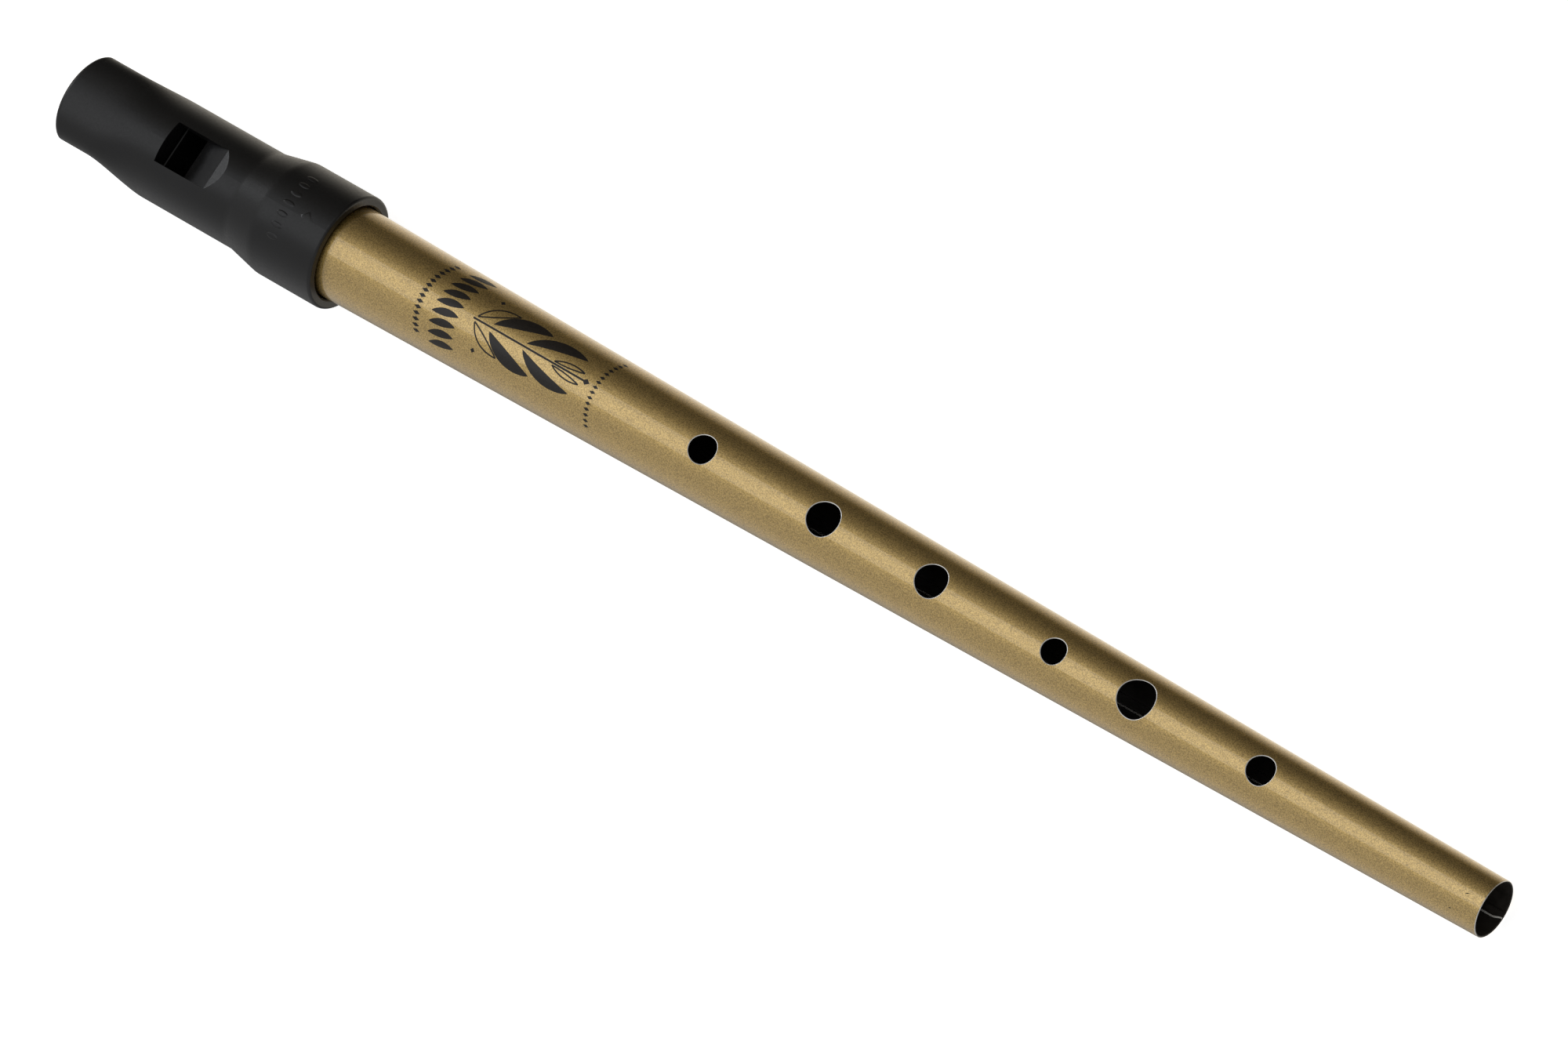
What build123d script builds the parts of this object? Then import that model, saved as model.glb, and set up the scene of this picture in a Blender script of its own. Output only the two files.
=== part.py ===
from build123d import *
import os

# A six-hole tin whistle: a rolled conical tinplate tube in a moulded plastic head.
# X runs along the bore from the mouthpiece to the foot, Z points out through the finger holes,
# and the origin lies on the bore's axis inside the straight band of the head's collar.

# ---- driving dimensions, mm ----
HEAD_LENGTH = 58.0  # from the beak's tip to the collar's rim
TUBE_SHOWING = 239.0  # from the collar's rim to the foot

# collar, shoulder and barrel, the turned stretch of the head
COLLAR_RADIUS = 10.45
COLLAR_BAND = 12.8  # from the shoulder's end to the rounded rim
RIM_ROUND = 0.5
BARREL_RADIUS = 9.1
SHOULDER_LENGTH = 6.4  # the cone between barrel and collar
SHOULDER_ROUND = 5.0

# beak, which blends from the round barrel to a flat oval that sits high
BARREL_END = 39.5  # from the collar's rim to the start of the blend
BLEND_LENGTH = 10.5
BLEND_STEPS = 7
BEAK_HALF_WIDTH = 8.15
BEAK_HALF_HEIGHT = 4.1
BEAK_CENTRE_Z = 5.0
TIP_DEPTH = 2.5  # the tip is a half ellipse in plan, this deep and slightly wider than the beak
TIP_HALF_WIDTH = 8.3
TIP_EDGE_ROUND = 0.9

# windway, window and blade; the distances run from the collar's rim towards the tip
WINDWAY_WIDTH = 7.8
WINDWAY_FLOOR_Z = 4.4
WINDWAY_EXIT_HEIGHT = 1.0
WINDWAY_ENTRY_HEIGHT = 1.8
WINDOW_WALL = 36.4
BLADE_EDGE = 31.75
BLADE_EDGE_Z = 4.85
BLADE_THICKNESS = 0.2
RAMP_END = 25.56
CREST_END = 23.4

# inside of the head
CHAMBER_RADIUS = 7.3
CEILING_END = 24.5  # the flat ceiling under the blade gives way to the full round here
SOCKET_DEPTH = 16.0
SOCKET_CLEARANCE = 0.05
SOCKET_LEAD_IN = 0.3

# fipple block, a stepped plug that closes the chamber and floors the windway
BLOCK_SHOULDER = 41.0
TONGUE_WIDTH = 9.8
TONGUE_BOTTOM_Z = 2.2
TONGUE_RECESS = 1.0
VOICING_BEVEL = 0.15  # along the windway floor's inner edge

# tube, one tinplate sheet rolled to a cone with its long edges lapped on the underside
SHEET = 0.3
FOOT_RADIUS = 5.11
RIM_TUBE_RADIUS = 8.41  # where the tube leaves the collar
TUBE_END_GAP = 0.3  # room between the tube's end and the socket's floor
LAP_ANGLE = 24.0
FINGER_HOLES = (  # distance from the foot, diameter
    (159.8, 5.05),
    (134.5, 6.0),
    (112.1, 5.8),
    (86.9, 4.5),
    (70.1, 6.7),
    (44.9, 5.05),
)

# ---- places worked out from them ----
RIM_X = COLLAR_BAND / 2 + RIM_ROUND
TIP_X = RIM_X - HEAD_LENGTH
FOOT_X = RIM_X + TUBE_SHOWING
COLLAR_START_X = -COLLAR_BAND / 2
SHOULDER_X = COLLAR_START_X - SHOULDER_LENGTH
BLEND_START_X = RIM_X - BARREL_END
BLEND_END_X = BLEND_START_X - BLEND_LENGTH
WINDOW_WALL_X = RIM_X - WINDOW_WALL
BLADE_EDGE_X = RIM_X - BLADE_EDGE
RAMP_END_X = RIM_X - RAMP_END
CREST_END_X = RIM_X - CREST_END
CEILING_END_X = RIM_X - CEILING_END
SOCKET_FLOOR_X = RIM_X - SOCKET_DEPTH
TUBE_START_X = SOCKET_FLOOR_X + TUBE_END_GAP
BLOCK_SHOULDER_X = RIM_X - BLOCK_SHOULDER
TONGUE_END_X = TIP_X + TONGUE_RECESS
CEILING_Z = BLADE_EDGE_Z - BLADE_THICKNESS
ROOF_EXIT_Z = WINDWAY_FLOOR_Z + WINDWAY_EXIT_HEIGHT
ROOF_ENTRY_Z = WINDWAY_FLOOR_Z + WINDWAY_ENTRY_HEIGHT
RAMP_END_Z = (BARREL_RADIUS**2 - (WINDWAY_WIDTH / 2) ** 2) ** 0.5
TAPER = (RIM_TUBE_RADIUS - FOOT_RADIUS) / TUBE_SHOWING
START_RADIUS = FOOT_RADIUS + TAPER * (FOOT_X - TUBE_START_X)
SOCKET_RADIUS = START_RADIUS + SOCKET_CLEARANCE
OUTSIDE = 2 * BARREL_RADIUS  # a height that clears every surface


def sheet_section(layer, plane):
    """Half section of one layer of the rolled sheet, layer 0 being the outer one."""
    outer = layer * SHEET
    inner = outer + SHEET
    with BuildSketch(plane) as section:
        with BuildLine():
            Polyline(
                (TUBE_START_X, START_RADIUS - outer),
                (FOOT_X, FOOT_RADIUS - outer),
                (FOOT_X, FOOT_RADIUS - inner),
                (TUBE_START_X, START_RADIUS - inner),
                close=True,
            )
        make_face()
    return section.sketch


def beak_section(section_x):
    """Section across the beak: a circle where it leaves the barrel, an oval at the blend's end."""
    along = (BLEND_START_X - section_x) / BLEND_LENGTH
    blend = along * along * (3 - 2 * along)
    half_width = BARREL_RADIUS + blend * (BEAK_HALF_WIDTH - BARREL_RADIUS)
    half_height = BARREL_RADIUS + blend * (BEAK_HALF_HEIGHT - BARREL_RADIUS)
    with BuildSketch(Plane.YZ.offset(section_x)) as section:
        with Locations((0, blend * BEAK_CENTRE_Z)):
            Ellipse(half_width, half_height)
    return section.sketch


def chamber_section(section_x, ceiling_z):
    """The chamber's round section at section_x, cut flat across the top at ceiling_z."""
    with BuildSketch(Plane.YZ.offset(section_x)) as section:
        Circle(CHAMBER_RADIUS)
        with Locations((0, ceiling_z)):
            Rectangle(
                OUTSIDE, OUTSIDE, align=(Align.CENTER, Align.MIN), mode=Mode.SUBTRACT
            )
    return section.sketch


def tongue_section():
    """The tongue's rectangular section, on the plane where it leaves the chamber."""
    with BuildSketch(Plane.YZ.offset(BLOCK_SHOULDER_X)) as section:
        with Locations((0, TONGUE_BOTTOM_Z)):
            Rectangle(
                TONGUE_WIDTH,
                WINDWAY_FLOOR_Z - TONGUE_BOTTOM_Z,
                align=(Align.CENTER, Align.MIN),
            )
    return section.sketch


# ---- tube ----
with BuildPart() as tube:
    revolve(sheet_section(0, Plane.XZ), axis=Axis.X)

    # inner layer of the lapped seam, centred on the underside
    lap_plane = Plane.XZ.rotated((180 - LAP_ANGLE / 2, 0, 0))
    revolve(sheet_section(1, lap_plane), axis=Axis.X, revolution_arc=LAP_ANGLE)

    for from_foot, diameter in FINGER_HOLES:
        with BuildSketch(Plane.XY):
            with Locations((FOOT_X - from_foot, 0)):
                Circle(diameter / 2)
        extrude(amount=OUTSIDE, mode=Mode.SUBTRACT)

# ---- head shell ----
with BuildPart() as head_shell:
    # beak: the straight oval with its tip rounded, then the blend up to the barrel
    with BuildSketch(Plane.YZ.offset(TIP_X)):
        with Locations((0, BEAK_CENTRE_Z)):
            Ellipse(BEAK_HALF_WIDTH, BEAK_HALF_HEIGHT)
    extrude(amount=BLEND_END_X - TIP_X)
    with BuildSketch(Plane.XY):
        with Locations((TIP_X + TIP_DEPTH, 0)):
            Ellipse(TIP_DEPTH, TIP_HALF_WIDTH)
            Rectangle(HEAD_LENGTH, 2 * TIP_HALF_WIDTH, align=(Align.MIN, Align.CENTER))
    extrude(amount=OUTSIDE, both=True, mode=Mode.INTERSECT)
    fillet(head_shell.faces().sort_by(Axis.X)[0].edges(), TIP_EDGE_ROUND)
    step_length = BLEND_LENGTH / BLEND_STEPS
    loft([beak_section(BLEND_START_X - i * step_length) for i in range(BLEND_STEPS + 1)])

    # barrel, shoulder and collar, turned about the bore
    with BuildSketch(Plane.XZ) as turned:
        with BuildLine():
            Polyline(
                (BLEND_START_X, 0),
                (BLEND_START_X, BARREL_RADIUS),
                (SHOULDER_X, BARREL_RADIUS),
                (COLLAR_START_X, COLLAR_RADIUS),
                (RIM_X, COLLAR_RADIUS),
                (RIM_X, 0),
                close=True,
            )
        make_face()
        shoulder_ends = turned.vertices().filter_by_position(Axis.X, SHOULDER_X, COLLAR_START_X)
        fillet(shoulder_ends, SHOULDER_ROUND)
        fillet(turned.vertices().group_by(Axis.X)[-1].sort_by(Axis.Y)[-1], RIM_ROUND)
    revolve(axis=Axis.X)

    # socket for the tube, with its lead-in, and the chamber
    with BuildSketch(Plane.XZ):
        with BuildLine():
            Polyline(
                (SOCKET_FLOOR_X, 0),
                (SOCKET_FLOOR_X, SOCKET_RADIUS),
                (RIM_X - SOCKET_LEAD_IN, SOCKET_RADIUS),
                (RIM_X, SOCKET_RADIUS + SOCKET_LEAD_IN),
                (RIM_X, 0),
                close=True,
            )
        make_face()
    revolve(axis=Axis.X, mode=Mode.SUBTRACT)
    with BuildSketch(Plane.YZ.offset(SOCKET_FLOOR_X)):
        Circle(CHAMBER_RADIUS)
    extrude(amount=CEILING_END_X - SOCKET_FLOOR_X, mode=Mode.SUBTRACT)
    under_blade = chamber_section(CEILING_END_X, CEILING_Z)
    extrude(under_blade, amount=WINDOW_WALL_X - CEILING_END_X, mode=Mode.SUBTRACT)

    # seat of the fipple block: the chamber's end and the slot of its tongue
    block_section = chamber_section(WINDOW_WALL_X, WINDWAY_FLOOR_Z)
    extrude(block_section, amount=BLOCK_SHOULDER_X - WINDOW_WALL_X, mode=Mode.SUBTRACT)
    extrude(tongue_section(), amount=TIP_X - BLOCK_SHOULDER_X, mode=Mode.SUBTRACT)

    # windway, window and the ramp behind the blade, all one width
    with BuildSketch(Plane.XZ):
        with BuildLine():
            Polyline(
                (TIP_X, WINDWAY_FLOOR_Z),
                (TIP_X, ROOF_ENTRY_Z),
                (WINDOW_WALL_X, ROOF_EXIT_Z),
                (WINDOW_WALL_X, OUTSIDE),
                (CREST_END_X, OUTSIDE),
                (CREST_END_X, BARREL_RADIUS),
                (RAMP_END_X, RAMP_END_Z),
                (BLADE_EDGE_X, BLADE_EDGE_Z),
                (BLADE_EDGE_X, WINDWAY_FLOOR_Z),
                close=True,
            )
        make_face()
    extrude(amount=WINDWAY_WIDTH / 2, both=True, mode=Mode.SUBTRACT)

# ---- fipple block ----
with BuildPart() as fipple_block:
    extrude(block_section, amount=BLOCK_SHOULDER_X - WINDOW_WALL_X)
    voiced_edge = fipple_block.faces().sort_by(Axis.X)[-1].edges().sort_by(Axis.Z)[-1]
    chamfer(voiced_edge, VOICING_BEVEL)
    extrude(tongue_section(), amount=TONGUE_END_X - BLOCK_SHOULDER_X)

os.makedirs("parts", exist_ok=True)
tube.part.label = "tube"
export_step(tube.part, "parts/tube.step")
head_shell.part.label = "head_shell"
export_step(head_shell.part, "parts/head_shell.step")
fipple_block.part.label = "fipple_block"
export_step(fipple_block.part, "parts/fipple_block.step")
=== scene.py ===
"""The looks of the tin whistle: gold flake paint, bare tin edges, moulded black head, studio."""
import math

import bpy
from mathutils import Matrix, Vector

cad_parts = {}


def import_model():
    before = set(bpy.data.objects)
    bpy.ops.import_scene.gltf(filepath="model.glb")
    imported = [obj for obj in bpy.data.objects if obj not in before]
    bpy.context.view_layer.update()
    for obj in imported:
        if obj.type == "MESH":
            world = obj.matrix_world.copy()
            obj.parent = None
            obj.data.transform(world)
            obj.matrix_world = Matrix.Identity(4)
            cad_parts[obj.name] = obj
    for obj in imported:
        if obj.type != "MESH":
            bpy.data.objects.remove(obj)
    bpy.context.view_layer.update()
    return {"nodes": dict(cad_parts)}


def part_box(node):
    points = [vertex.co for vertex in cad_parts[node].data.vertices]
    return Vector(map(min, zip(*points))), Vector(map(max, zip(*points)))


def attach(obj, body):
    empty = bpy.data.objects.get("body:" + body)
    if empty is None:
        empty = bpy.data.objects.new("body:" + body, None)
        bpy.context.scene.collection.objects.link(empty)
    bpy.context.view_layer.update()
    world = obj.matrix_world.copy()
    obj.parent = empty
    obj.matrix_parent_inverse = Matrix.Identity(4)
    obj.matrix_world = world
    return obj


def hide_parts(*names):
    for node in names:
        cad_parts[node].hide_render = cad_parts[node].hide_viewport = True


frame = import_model()
MM = 0.001

# ---- places and sizes, from the frame where it gives them ------------------------------------
TUBE_LOW, TUBE_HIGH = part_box("tube")
HEAD_LOW, HEAD_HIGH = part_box("head_shell")
RIM_X = HEAD_HIGH.x
START_X, FOOT_X = TUBE_LOW.x, TUBE_HIGH.x
START_RADIUS, FOOT_RADIUS = TUBE_HIGH.z, 5.11 * MM
COLLAR_RADIUS = HEAD_HIGH.z
COLLAR_RIM_ROUND = 0.5 * MM
SHEET = 0.3 * MM
TAPER = (START_RADIUS - FOOT_RADIUS) / (FOOT_X - START_X)
LAP_HALF = math.radians(12)  # half of the CAD tube's lap; the sheet's outer edge lies here
HOLES = [  # distance from the foot and diameter, mm
    (159.8, 5.05),
    (134.5, 6.0),
    (112.1, 5.8),
    (86.9, 4.5),
    (70.1, 6.7),
    (44.9, 5.05),
]

# ---- materials -------------------------------------------------------------------------------


def fill_ramp(node, stops):
    """Gives a colour ramp node its stops, each a place from 0 to 1 and a colour."""
    elements = node.color_ramp.elements
    while len(elements) < len(stops):
        elements.new(0.5)
    for element, (place, colour) in zip(elements, stops):
        element.position = place
        element.color = (*colour, 1.0)


class Nodes:
    """A short way to build one material's node tree."""

    def __init__(self, name):
        self.material = bpy.data.materials.new(name)
        self.material.use_nodes = True
        self.tree = self.material.node_tree
        self.shader = self.tree.nodes["Principled BSDF"]

    def add(self, kind):
        return self.tree.nodes.new(kind)

    def link(self, output, socket):
        self.tree.links.new(output, socket)

    def noise(self, scale, detail=2.0):
        node = self.add("ShaderNodeTexNoise")
        node.inputs["Scale"].default_value = scale
        node.inputs["Detail"].default_value = detail
        self.link(self.add("ShaderNodeTexCoord").outputs["Object"], node.inputs["Vector"])
        return node.outputs["Fac"]

    def ramp(self, factor, stops):
        node = self.add("ShaderNodeValToRGB")
        fill_ramp(node, stops)
        self.link(factor, node.inputs["Fac"])
        return node.outputs["Color"]

    def bump(self, height, strength, distance):
        node = self.add("ShaderNodeBump")
        node.inputs["Strength"].default_value = strength
        node.inputs["Distance"].default_value = distance
        self.link(height, node.inputs["Height"])
        self.link(node.outputs["Normal"], self.shader.inputs["Normal"])

    def drive(self, name, output):
        self.link(output, self.shader.inputs[name])

    def set(self, **values):
        for key, value in values.items():
            self.shader.inputs[key.replace("_", " ")].default_value = value


def grey(level):
    return (level, level, level)


FLAKE_SCALE = 4600.0  # the paint's grain, which the thin ink takes too


def gold_paint():
    """Satin gold metallic paint: fine flake speckle under a smooth clear coat."""
    m = Nodes("gold_paint")
    flake = m.noise(FLAKE_SCALE, 1.0)
    dark, bright = (0.405, 0.262, 0.066), (0.80, 0.55, 0.178)
    m.drive("Base Color", m.ramp(flake, [(0.32, dark), (0.68, bright)]))
    m.drive("Roughness", m.ramp(m.noise(900.0), [(0.3, grey(0.36)), (0.7, grey(0.42))]))
    m.bump(flake, 0.3, 0.00006)
    m.set(Metallic=1.0, Coat_Weight=1.0, Coat_Roughness=0.08, Coat_IOR=1.85)
    return m.material


def bare_tin():
    """Bright tin where the sheet was cut."""
    m = Nodes("bare_tin")
    scratch = m.noise(2500.0)
    m.drive("Base Color", m.ramp(scratch, [(0.3, (0.70, 0.68, 0.64)), (0.7, (0.86, 0.84, 0.80))]))
    m.drive("Roughness", m.ramp(scratch, [(0.3, grey(0.35)), (0.7, grey(0.5))]))
    m.set(Metallic=0.85)
    return m.material


def pale_solder():
    """The line of solder along the seam, pale and matt."""
    m = Nodes("pale_solder")
    frost = m.noise(1800.0)
    m.drive("Base Color", m.ramp(frost, [(0.3, (0.80, 0.77, 0.70)), (0.7, (0.93, 0.91, 0.86))]))
    m.drive("Roughness", m.ramp(frost, [(0.3, grey(0.35)), (0.7, grey(0.5))]))
    m.set(Metallic=0.1)
    return m.material


def painted_shade_bore_and_dark_marks():
    """The bore's unpainted wall, coloured near-black as painted shade for the dark inside of the
    tube; the seam line and the knocks take the same dark colour as marks.
    """
    m = Nodes("painted_shade_bore_and_dark_marks")
    stain = m.noise(700.0)
    # near-black colour: painted shade of the bore, not the tin's own colour
    m.drive("Base Color", m.ramp(stain, [(0.3, (0.014, 0.011, 0.008)), (0.7, (0.030, 0.024, 0.018))]))
    m.drive("Roughness", m.ramp(stain, [(0.3, grey(0.5)), (0.7, grey(0.65))]))
    m.set(Metallic=0.0)
    return m.material


def printing_ink():
    """Black ink printed on the paint, thin enough to take a little of its grain."""
    m = Nodes("printing_ink")
    grain = m.noise(FLAKE_SCALE, 1.0)
    m.drive("Base Color", m.ramp(grain, [(0.3, (0.007, 0.005, 0.004)), (0.7, (0.018, 0.013, 0.009))]))
    m.drive("Roughness", m.ramp(grain, [(0.3, grey(0.30)), (0.7, grey(0.42))]))
    m.set(IOR=1.5)
    return m.material


def moulded_plastic(name, dark, light):
    """Near-black moulded plastic with a fine satin texture."""
    m = Nodes(name)
    grain = m.noise(2600.0, 3.0)
    m.drive("Base Color", m.ramp(m.noise(120.0), [(0.3, dark), (0.7, light)]))
    m.drive("Roughness", m.ramp(grain, [(0.3, grey(0.32)), (0.7, grey(0.42))]))
    m.bump(grain, 0.22, 0.00004)
    m.set(IOR=1.5)
    return m.material


GOLD, TIN, SOLDER = gold_paint(), bare_tin(), pale_solder()
# INSIDE is the near-black painted shade of the bore, also used for the dark seam line and knocks
INSIDE, INK = painted_shade_bore_and_dark_marks(), printing_ink()
HEAD_PLASTIC = moulded_plastic("head_plastic", (0.0040, 0.0040, 0.0046), (0.0058, 0.0056, 0.0060))
BLOCK_PLASTIC = moulded_plastic("block_plastic", (0.0034, 0.0034, 0.0036), (0.0048, 0.0048, 0.0050))


def dress(node, material):
    mesh = frame["nodes"][node].data
    mesh.materials.clear()
    mesh.materials.append(material)


dress("tube", GOLD)
dress("head_shell", HEAD_PLASTIC)
dress("fipple_block", BLOCK_PLASTIC)

# ---- mesh code -------------------------------------------------------------------------------


class Skin:
    """Gathers one piece's points, their normals and its faces, each face with a material slot."""

    def __init__(self):
        self.points, self.normals, self.faces, self.slots = [], [], [], []

    def point(self, place, normal=(0.0, 0.0, 0.0)):
        """Adds a point. A zero normal leaves it the smooth one that its faces give."""
        self.points.append(place)
        self.normals.append(normal)
        return len(self.points) - 1

    def face(self, corners, slot):
        self.faces.append(corners)
        self.slots.append(slot)

    def bridge(self, rows, slot, closed=False, flip=False):
        """Quads between rows of points, each row as long as the next."""
        for a, b in zip(rows, rows[1:]):
            count = len(a)
            for i in range(count if closed else count - 1):
                j = (i + 1) % count
                quad = (a[i], a[j], b[j], b[i])
                self.face(quad[::-1] if flip else quad, slot)

    def build(self, name, materials):
        mesh = bpy.data.meshes.new(name)
        mesh.from_pydata(self.points, [], self.faces)
        for material in materials:
            mesh.materials.append(material)
        for polygon, slot in zip(mesh.polygons, self.slots):
            polygon.material_index = slot
            polygon.use_smooth = True
        mesh.normals_split_custom_set_from_vertices(self.normals)
        piece = bpy.data.objects.new(name, mesh)
        bpy.context.scene.collection.objects.link(piece)
        return piece


# ---- the tube --------------------------------------------------------------------------------


def tube_radius(x):
    """The tube's outer radius at a place along it."""
    return FOOT_RADIUS + TAPER * (FOOT_X - x)


def on_tube(x, angle, depth=0.0):
    """A point of the tube, its angle turning from +Z towards +Y."""
    r = tube_radius(x) - depth
    return (x, r * math.sin(angle), r * math.cos(angle))


def tube_normal(angle, facing=1.0):
    """The painted face's normal, or the inner face's when facing is -1."""
    return Vector((facing * TAPER, facing * math.sin(angle), facing * math.cos(angle))).normalized()


PAINT_SLOT, TIN_SLOT, INSIDE_SLOT, INK_SLOT, SOLDER_SLOT = range(5)
COLUMNS = 144  # steps round the tube
ROW_SPACING = 4 * MM  # about the distance between rows that no hole is near
FOOT_ROWS = 12  # rows between the last hole's patch and the foot
PATCH_COLUMNS = 22  # steps to each side of a hole's centre that its own patch takes
PATCH_ROWS = 14
PATCH_MARGIN = 1.5 * MM
PATCH_RINGS = (0.0, 0.08, 0.2, 0.4, 0.7)  # from the hole's edge towards the patch's own edge
HOLE_STEPS = 96
BEVEL = 0.13 * MM  # bright edge round a hole
BEVEL_DEPTH = 0.07 * MM
FOOT_BEVEL = 0.11 * MM  # bright edge of the foot


def hole_point(centre, radius, turn, depth):
    """A point on a finger hole's upright wall, as a place along the tube and an angle round it."""
    x = centre + radius * math.cos(turn)
    return x, math.asin(radius * math.sin(turn) / (tube_radius(x) - depth))


def stations(end):
    """The rows' places along the tube, and the row that each hole's patch starts at."""
    rows, starts = [START_X], []
    for from_foot, diameter in HOLES:
        centre, reach = FOOT_X - from_foot * MM, diameter / 2 * MM + PATCH_MARGIN
        gap = centre - reach - rows[-1]
        count = max(2, round(gap / ROW_SPACING))
        rows += [rows[-1] + gap * (i + 1) / count for i in range(count)]
        starts.append(len(rows) - 1)
        rows += [rows[-1] + 2 * reach * (i + 1) / PATCH_ROWS for i in range(PATCH_ROWS)]
    last = rows[-1]
    rows += [last + (end - last) * (i + 1) / FOOT_ROWS for i in range(FOOT_ROWS)]
    return rows, starts


def sheet_face(skin, depth, widen, end, facing, slot):
    """One face of the rolled sheet, with a patch of quads in rings about each finger hole."""
    rows, starts = stations(end)
    angles = [2 * math.pi * j / COLUMNS for j in range(COLUMNS)]
    grid = [
        [skin.point(on_tube(x, a, depth), tube_normal(a, facing)) for a in angles] for x in rows
    ]

    def quad(corners):
        skin.face(corners if facing > 0 else corners[::-1], slot)

    def in_patch(i, j):
        near = j < PATCH_COLUMNS or j >= COLUMNS - PATCH_COLUMNS
        return near and any(s <= i < s + PATCH_ROWS for s in starts)

    for i in range(len(rows) - 1):
        for j in range(COLUMNS):
            if not in_patch(i, j):
                k = (j + 1) % COLUMNS
                quad((grid[i][j], grid[i + 1][j], grid[i + 1][k], grid[i][k]))

    for (from_foot, diameter), start in zip(HOLES, starts):
        centre, radius = FOOT_X - from_foot * MM, diameter / 2 * MM + widen
        top, side = start + PATCH_ROWS, PATCH_COLUMNS
        loop = [(i, -side) for i in range(start, top)]
        loop += [(top, j) for j in range(-side, side)]
        loop += [(i, side) for i in range(top, start, -1)]
        loop += [(start, j) for j in range(side, -side, -1)]
        rings = []
        for along in PATCH_RINGS:
            ring = []
            for i, j in loop:
                x, angle = rows[i], 2 * math.pi * j / COLUMNS
                turn = math.atan2(angle * tube_radius(centre), x - centre)
                hx, ha = hole_point(centre, radius, turn, depth)
                px, pa = hx + (x - hx) * along, ha + (angle - ha) * along
                ring.append(skin.point(on_tube(px, pa, depth), tube_normal(pa, facing)))
            rings.append(ring)
        rings.append([grid[i][j % COLUMNS] for i, j in loop])
        skin.bridge(rings, slot, closed=True, flip=facing > 0)


def hole_wall(skin, centre, radius):
    """A punched hole's bright bevel and its wall through the sheet."""
    turns = [2 * math.pi * k / HOLE_STEPS for k in range(HOLE_STEPS)]

    def ring(r, depth):
        spots = [hole_point(centre, r, t, depth) for t in turns]
        return [skin.point(on_tube(x, a, depth)) for x, a in spots]

    skin.bridge([ring(radius + BEVEL, 0.0), ring(radius, BEVEL_DEPTH)], TIN_SLOT, True)
    # the wall through the sheet takes the bore's near-black painted shade
    skin.bridge([ring(radius, BEVEL_DEPTH), ring(radius, SHEET)], INSIDE_SLOT, True)


def end_ring(skin, x_from, depth_from, x_to, depth_to, slot, flip=False):
    """A ring of the tube's end between two places on the sheet's section."""
    angles = [2 * math.pi * j / COLUMNS for j in range(COLUMNS)]
    first = [skin.point(on_tube(x_from, a, depth_from)) for a in angles]
    second = [skin.point(on_tube(x_to, a, depth_to)) for a in angles]
    skin.bridge([first, second], slot, True, flip)


def steps(start, end, count):
    """Places from start to end with count steps between them."""
    return [start + (end - start) * i / count for i in range(count + 1)]


def lap(skin):
    """The seam's inner layer: its raw edge wanders near the foot and carries pale solder."""
    reach = math.radians(4)  # from the bottom line to the raw edge, short of the CAD's lap
    wander, wander_length = 0.5 * MM, 1.8 * MM
    solder_width = 0.24 * MM
    fine_x = FOOT_X - 3 * MM  # the rows are closer together from here to the foot
    face_rows, near_rows, far_rows = [], [], []
    for x in steps(START_X, fine_x, 60) + steps(fine_x, FOOT_X, 12)[1:]:
        t = min(1.0, max(0.0, (x - FOOT_X + wander_length) / wander_length))
        edge = reach - wander / tube_radius(x) * t * t * (3 - 2 * t)
        solder = solder_width / tube_radius(x)
        spread = steps(edge, -LAP_HALF, 8)
        face_rows.append([skin.point(on_tube(x, math.pi + a, 2 * SHEET)) for a in spread])
        near = [(edge + solder, SHEET), (edge + 0.4 * solder, 1.7 * SHEET), (edge, 2 * SHEET)]
        near_rows.append([skin.point(on_tube(x, math.pi + a, d)) for a, d in near])
        far = [(-LAP_HALF, 2 * SHEET), (-LAP_HALF - solder / 3, SHEET)]
        far_rows.append([skin.point(on_tube(x, math.pi + a, d)) for a, d in far])
    # the inner layer's face and far edge take the bore's near-black painted shade
    skin.bridge(face_rows, INSIDE_SLOT, flip=True)
    skin.bridge(near_rows, SOLDER_SLOT, flip=True)
    skin.bridge(far_rows, INSIDE_SLOT, flip=True)


INK_LIFT = 0.012 * MM  # how far a mark stands off the paint
RIBBON_QUAD = 0.4  # about the width of one quad across a mark, mm
LEAF_TIP, DIAMOND_TIP = 0.02, 0.01  # a mark's width at its ends, mm


def ribbon(skin, line, widths, slot=INK_SLOT):
    """A flat mark on the paint along a line of (mm from the rim, mm round from the top)."""
    rows = []
    across = max(2, round(max(widths) / RIBBON_QUAD))
    for i, ((x, a), width) in enumerate(zip(line, widths)):
        before, after = line[max(0, i - 1)], line[min(len(line) - 1, i + 1)]
        along = Vector((after[0] - before[0], after[1] - before[1])).normalized()
        row = []
        for k in range(across + 1):
            off = width * (k / across - 0.5)
            px = RIM_X + (x - along.y * off) * MM
            angle = (a + along.x * off) * MM / tube_radius(px)
            row.append(skin.point(on_tube(px, angle, -INK_LIFT), tube_normal(angle)))
        rows.append(row)
    skin.bridge(rows, slot, flip=True)


def arc_line(start, end, bow, count):
    """Points from start to end that bow sideways by so many mm in the middle."""
    across = Vector((start[1] - end[1], end[0] - start[0])).normalized()
    points = []
    for i in range(count + 1):
        t = i / count
        push = 4 * bow * t * (1 - t)
        x = start[0] + (end[0] - start[0]) * t + across.x * push
        points.append((x, start[1] + (end[1] - start[1]) * t + across.y * push))
    return points


def leaf(skin, start, end, bow, width, power, count=24):
    """A leaf, widest in the middle, its ends blunter the smaller the power is."""
    swell = [math.sin(math.pi * i / count) ** power for i in range(count + 1)]
    widths = [max(LEAF_TIP, width * part) for part in swell]
    ribbon(skin, arc_line(start, end, bow, count), widths)


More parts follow.
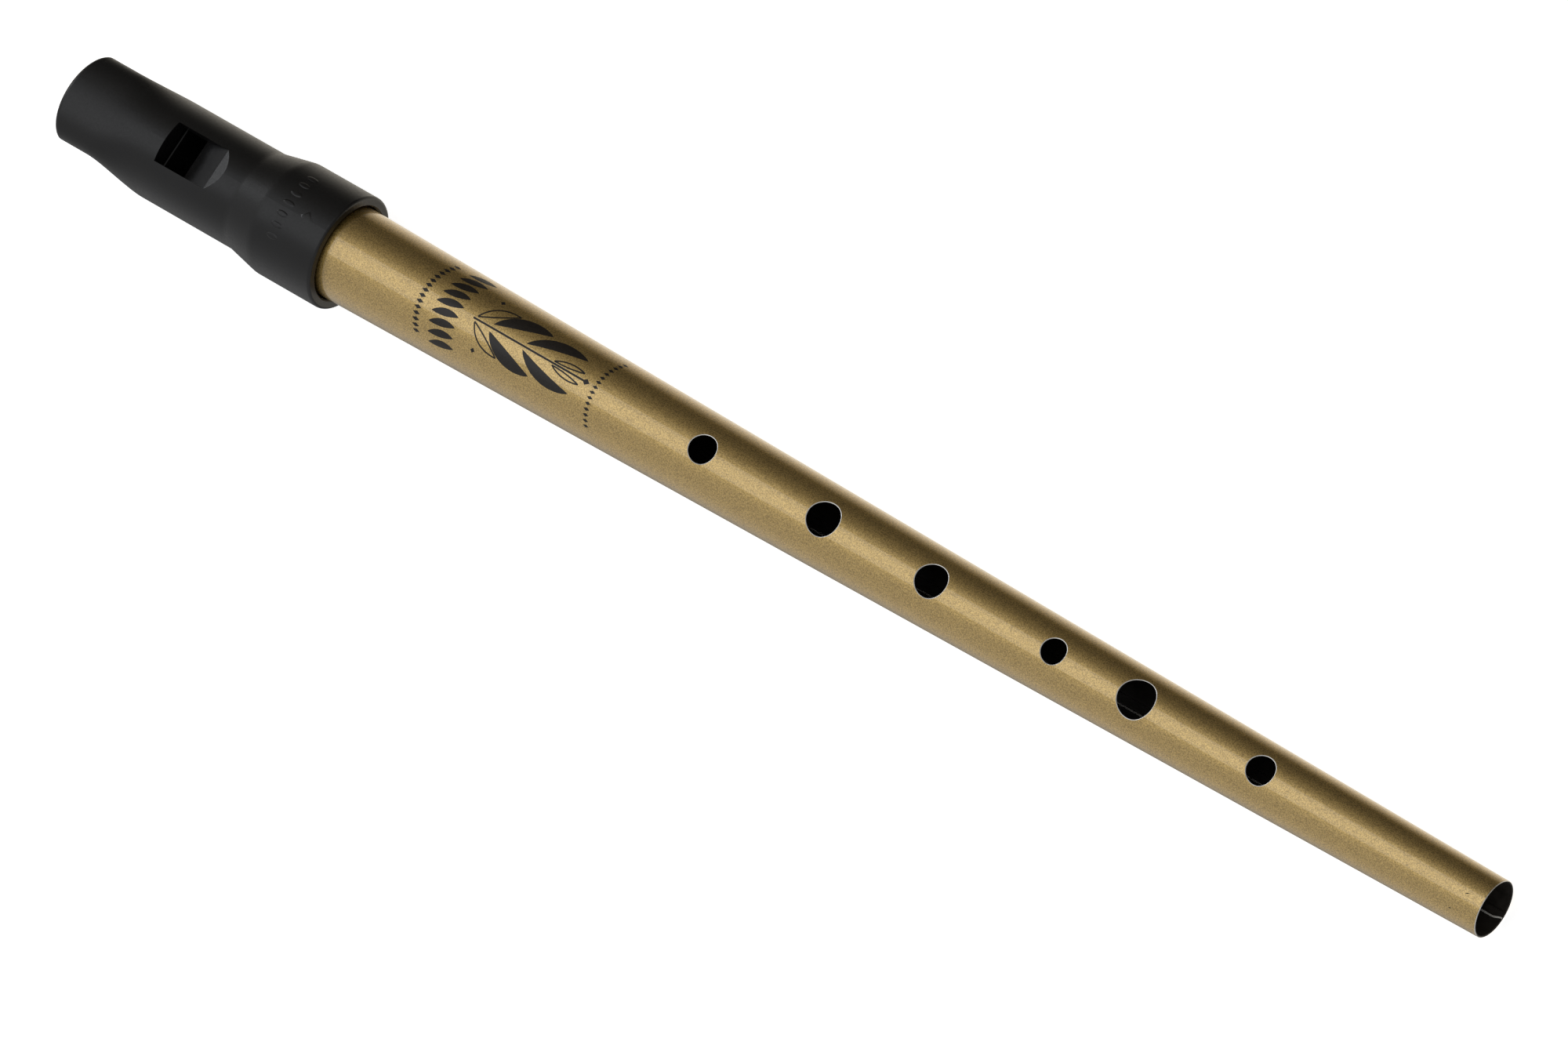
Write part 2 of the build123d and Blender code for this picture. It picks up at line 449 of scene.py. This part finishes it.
def stroke(skin, start, end, bow, width, count=20):
    """A line of one width."""
    ribbon(skin, arc_line(start, end, bow, count), [width] * (count + 1))


def diamond(skin, x, a, length, width):
    """A small diamond, its length along the tube."""
    line = [(x + length * (i / 4 - 0.5), a) for i in range(5)]
    ribbon(skin, line, [DIAMOND_TIP, width / 2, width, width / 2, DIAMOND_TIP])


def outlined_leaf(skin, start, end, bow, fat):
    """A leaf drawn as two thin lines that part in the middle."""
    line_width = 0.26
    stroke(skin, start, end, bow + fat, line_width)
    stroke(skin, start, end, bow - fat, line_width)


def diamond_row(skin, x, pitch, curve, length, width):
    """Fifteen diamonds round the tube, in a row that curves away along it."""
    for k in range(-7, 8):
        a = k * pitch
        diamond(skin, x + curve * a * a, a, length, width)


def ornament(skin):
    """The printed band: leaf sprays between rows of small marks, in black ink. All is in mm."""
    diamond_row(skin, 20.3, 1.02, 0.022, 1.5, 0.72)
    for k in range(-4, 5):
        a = k * 1.85
        x = 23.0 + 0.02 * a * a
        leaf(skin, (x, a - 0.5), (x + 5.2, a + 0.5), 0.25, 1.35, 0.8)
    for side in (-1, 1):
        leaf(skin, (34.5, side * 0.7), (44.5, side * 4.1), side * 1.0, 2.3, 0.75)
        leaf(skin, (41.5, side * 0.6), (52.6, side * 3.3), side * 1.1, 2.0, 0.75)
        outlined_leaf(skin, (31.2, side * 0.5), (37.6, side * 4.2), side * 0.5, 0.75)
        outlined_leaf(skin, (47.6, side * 0.4), (53.6, side * 1.1), side * 0.2, 0.4)
        diamond(skin, 33.0, side * 5.0, 0.9, 0.9)
    stroke(skin, (30.6, 0.0), (54.0, 0.0), 0.0, 0.34, 50)
    diamond(skin, 54.6, 0.0, 1.5, 1.1)
    diamond_row(skin, 56.6, 0.98, 0.02, 1.2, 0.6)


def knocks(skin):
    """Two small knocks in the paint near the foot."""
    foot = (FOOT_X - RIM_X) / MM
    widths = [0.06, 0.2, 0.06]
    ribbon(skin, [(foot - 3.5, -0.75), (foot - 3.2, -0.6), (foot - 2.9, -0.5)], widths, INSIDE_SLOT)
    ribbon(skin, [(foot - 5.3, -4.3), (foot - 5.1, -4.25), (foot - 4.9, -4.3)], widths, INSIDE_SLOT)


def seam_line(skin):
    """The thin line of the sheet's outer edge, along the underside."""
    line_width, lift = 0.12 * MM, 0.01 * MM
    rows = []
    for x in steps(START_X, FOOT_X - FOOT_BEVEL, 60):
        half = line_width / 2 / tube_radius(x)
        angles = (math.pi - LAP_HALF - half, math.pi - LAP_HALF + half)
        rows.append([skin.point(on_tube(x, angle, -lift)) for angle in angles])
    skin.bridge(rows, INSIDE_SLOT, flip=True)


def painted_tube():
    """The whole tube, which stands in for its CAD node."""
    skin = Skin()
    sheet_face(skin, 0.0, BEVEL, FOOT_X - FOOT_BEVEL, 1.0, PAINT_SLOT)
    # the inner face: near-black painted shade for the inside of the tube
    sheet_face(skin, SHEET, 0.0, FOOT_X - FOOT_BEVEL, -1.0, INSIDE_SLOT)
    for from_foot, diameter in HOLES:
        hole_wall(skin, FOOT_X - from_foot * MM, diameter / 2 * MM)
    end_ring(skin, FOOT_X - FOOT_BEVEL, 0.0, FOOT_X, FOOT_BEVEL, TIN_SLOT, True)
    # the foot's inner edge takes the bore's near-black painted shade
    end_ring(skin, FOOT_X, FOOT_BEVEL, FOOT_X - FOOT_BEVEL, SHEET, INSIDE_SLOT, True)
    end_ring(skin, START_X, 0.0, START_X, SHEET, TIN_SLOT)
    lap(skin)
    ornament(skin)
    knocks(skin)
    seam_line(skin)
    piece = skin.build("painted_tube", [GOLD, TIN, INSIDE, INK, SOLDER])
    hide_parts("tube")
    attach(piece, "tube")


# ---- the collar's pips -----------------------------------------------------------------------

PIP_HEIGHT = 0.1 * MM
PIP_PROFILE = ((1.06, -0.05), (1.0, 0.02), (0.86, 0.75), (0.6, 0.95), (0.3, 1.0))  # size, height


def pip(skin, x, angle, length, width, corners):
    """A low moulded pip on the collar, with its foot sunk in the band."""
    rings = []
    for scale, lift in PIP_PROFILE:
        ring = []
        for k in range(corners):
            turn = 2 * math.pi * k / corners
            px = x + scale * length / 2 * math.cos(turn)
            r = COLLAR_RADIUS + PIP_HEIGHT * lift
            a = angle + scale * width / 2 * math.sin(turn) / COLLAR_RADIUS
            ring.append(skin.point((px, r * math.sin(a), r * math.cos(a))))
        rings.append(ring)
    skin.bridge(rings, 0, True)
    skin.face(rings[-1], 0)


def collar_pips():
    """A plain raised row on the collar and one diamond beside it."""
    skin = Skin()
    for k in range(-3, 4):
        pip(skin, -2.2 * MM, math.radians(5 + 11.5 * k), 2.3 * MM, 1.0 * MM, 24)
    pip(skin, 2.1 * MM, math.radians(1), 2.5 * MM, 2.5 * MM, 4)
    piece = skin.build("collar_pips", [HEAD_PLASTIC])
    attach(piece, "head")


painted_tube()
collar_pips()

# ---- studio ----------------------------------------------------------------------------------


def direction(azimuth, elevation):
    """Unit vector from the target to a place seen along that azimuth, 0 looking along +Y."""
    a, e = math.radians(azimuth), math.radians(elevation)
    return Vector((math.sin(a) * math.cos(e), -math.cos(a) * math.cos(e), math.sin(e)))


def look(place, target, roll=0.0):
    """World matrix of something at place that looks at target, rolled about its line of sight."""
    rotation = (target - place).to_track_quat("-Z", "Y").to_matrix().to_4x4()
    return Matrix.Translation(place) @ rotation @ Matrix.Rotation(math.radians(roll), 4, "Z")


def camera():
    """A long lens at the photograph's place, fitted to the whistle's outline and its holes."""
    target = Vector((0.10218, -0.0028, -0.00038))
    azimuth, elevation, roll, distance = 75.002, 62.385, -43.334, 2.23287
    data = bpy.data.cameras.new("camera")
    data.lens = 313.26
    data.sensor_width = 36.0
    data.clip_end = 50.0
    camera_object = bpy.data.objects.new("camera", data)
    bpy.context.scene.collection.objects.link(camera_object)
    place = target + direction(azimuth, elevation) * distance
    camera_object.matrix_world = look(place, target, roll)
    bpy.context.scene.camera = camera_object


def tint_ramp(tree, value, low, high, stops):
    """A colour that follows value through stops of (place between low and high, colour)."""
    spread = tree.nodes.new("ShaderNodeMapRange")
    spread.inputs["From Min"].default_value = low
    spread.inputs["From Max"].default_value = high
    tree.links.new(value, spread.inputs["Value"])
    ramp = tree.nodes.new("ShaderNodeValToRGB")
    fill_ramp(ramp, [((place - low) / (high - low), colour) for place, colour in stops])
    tree.links.new(spread.outputs["Result"], ramp.inputs["Fac"])
    return ramp.outputs["Color"]


def floor():
    """A pale floor just below the collar and the foot. Reflections look past it at the room."""
    collar_x = RIM_X - COLLAR_RIM_ROUND
    slope = (-FOOT_RADIUS - HEAD_LOW.z) / (FOOT_X - collar_x)
    half_size, gap = 3.0, 0.1 * MM
    corners = []
    for sx, sy in ((-1, -1), (1, -1), (1, 1), (-1, 1)):
        x, y = sx * half_size, sy * half_size
        corners.append((x, y, HEAD_LOW.z + slope * (x - collar_x) - gap))
    mesh = bpy.data.meshes.new("floor")
    mesh.from_pydata(corners, [], [(0, 1, 2, 3)])
    floor_object = bpy.data.objects.new("floor", mesh)
    bpy.context.scene.collection.objects.link(floor_object)
    m = Nodes("floor_paper")
    paper = m.ramp(m.noise(40.0), [(0.3, grey(0.82)), (0.7, grey(0.84))])
    m.drive("Base Color", paper)
    m.set(Roughness=0.9, Emission_Color=(1.0, 1.0, 1.0, 1.0), Emission_Strength=0.8)
    mix = m.add("ShaderNodeMixShader")
    m.link(m.add("ShaderNodeLightPath").outputs["Is Camera Ray"], mix.inputs["Fac"])
    m.link(m.add("ShaderNodeBsdfTransparent").outputs["BSDF"], mix.inputs[1])
    m.link(m.shader.outputs["BSDF"], mix.inputs[2])
    m.link(mix.outputs["Shader"], m.tree.nodes["Material Output"].inputs["Surface"])
    mesh.materials.append(m.material)


def area_light(name, place, target, size, radiance):
    """A soft panel of slightly cool light that the camera doesn't see."""
    data = bpy.data.lights.new(name, "AREA")
    data.color = (0.975, 1.0, 1.04)
    data.shape = "RECTANGLE"
    data.size, data.size_y = size
    data.energy = radiance * math.pi * size[0] * size[1]
    light = bpy.data.objects.new(name, data)
    light.visible_camera = False
    bpy.context.scene.collection.objects.link(light)
    light.matrix_world = look(Vector(place), Vector(target))


def world():
    """A room that differs with the angle round the X axis from straight up towards +Y, in degrees.

    It is mid grey on the near side, dark down to level on the far side, and pale and warm
    below level there.
    """
    studio = bpy.data.worlds.new("studio")
    bpy.context.scene.world = studio
    studio.use_nodes = True
    tree = studio.node_tree
    split = tree.nodes.new("ShaderNodeSeparateXYZ")
    tree.links.new(tree.nodes.new("ShaderNodeTexCoord").outputs["Generated"], split.inputs[0])
    turn = tree.nodes.new("ShaderNodeMath")
    turn.operation = "ARCTAN2"
    tree.links.new(split.outputs["Y"], turn.inputs[0])
    tree.links.new(split.outputs["Z"], turn.inputs[1])
    degrees = tree.nodes.new("ShaderNodeMath")
    degrees.operation = "DEGREES"
    tree.links.new(turn.outputs[0], degrees.inputs[0])
    # angle and level
    near = [(-180, 0.22), (-165, 0.26), (-145, 0.46), (-120, 0.55), (-97, 0.50), (-76, 0.46)]
    near += [(-30, 0.47), (18, 0.36)]
    far = [(33, 0.20), (51, 0.12), (72, 0.07), (92, 0.04), (106, 0.29), (123, 0.69)]
    far += [(145, 0.95), (165, 0.86), (180, 0.5)]
    warm = (1.04, 0.97, 0.84)
    stops = [(place, grey(level)) for place, level in near]
    stops += [(place, [part * level for part in warm]) for place, level in far]
    colour = tint_ramp(tree, degrees.outputs[0], -180, 180, stops)
    tree.links.new(colour, tree.nodes["Background"].inputs["Color"])


camera()
floor()
world()
area_light("overhead_strip", (-0.35, -0.2, 1.0), (-0.35, -0.2, 0.0), (1.2, 0.82), 0.61)
area_light("end_card", (-1.16, 0.15, 0.52), (0.0, 0.0, 0.0), (0.35, 0.28), 4.2)
bpy.context.scene.view_settings.view_transform = "Standard"
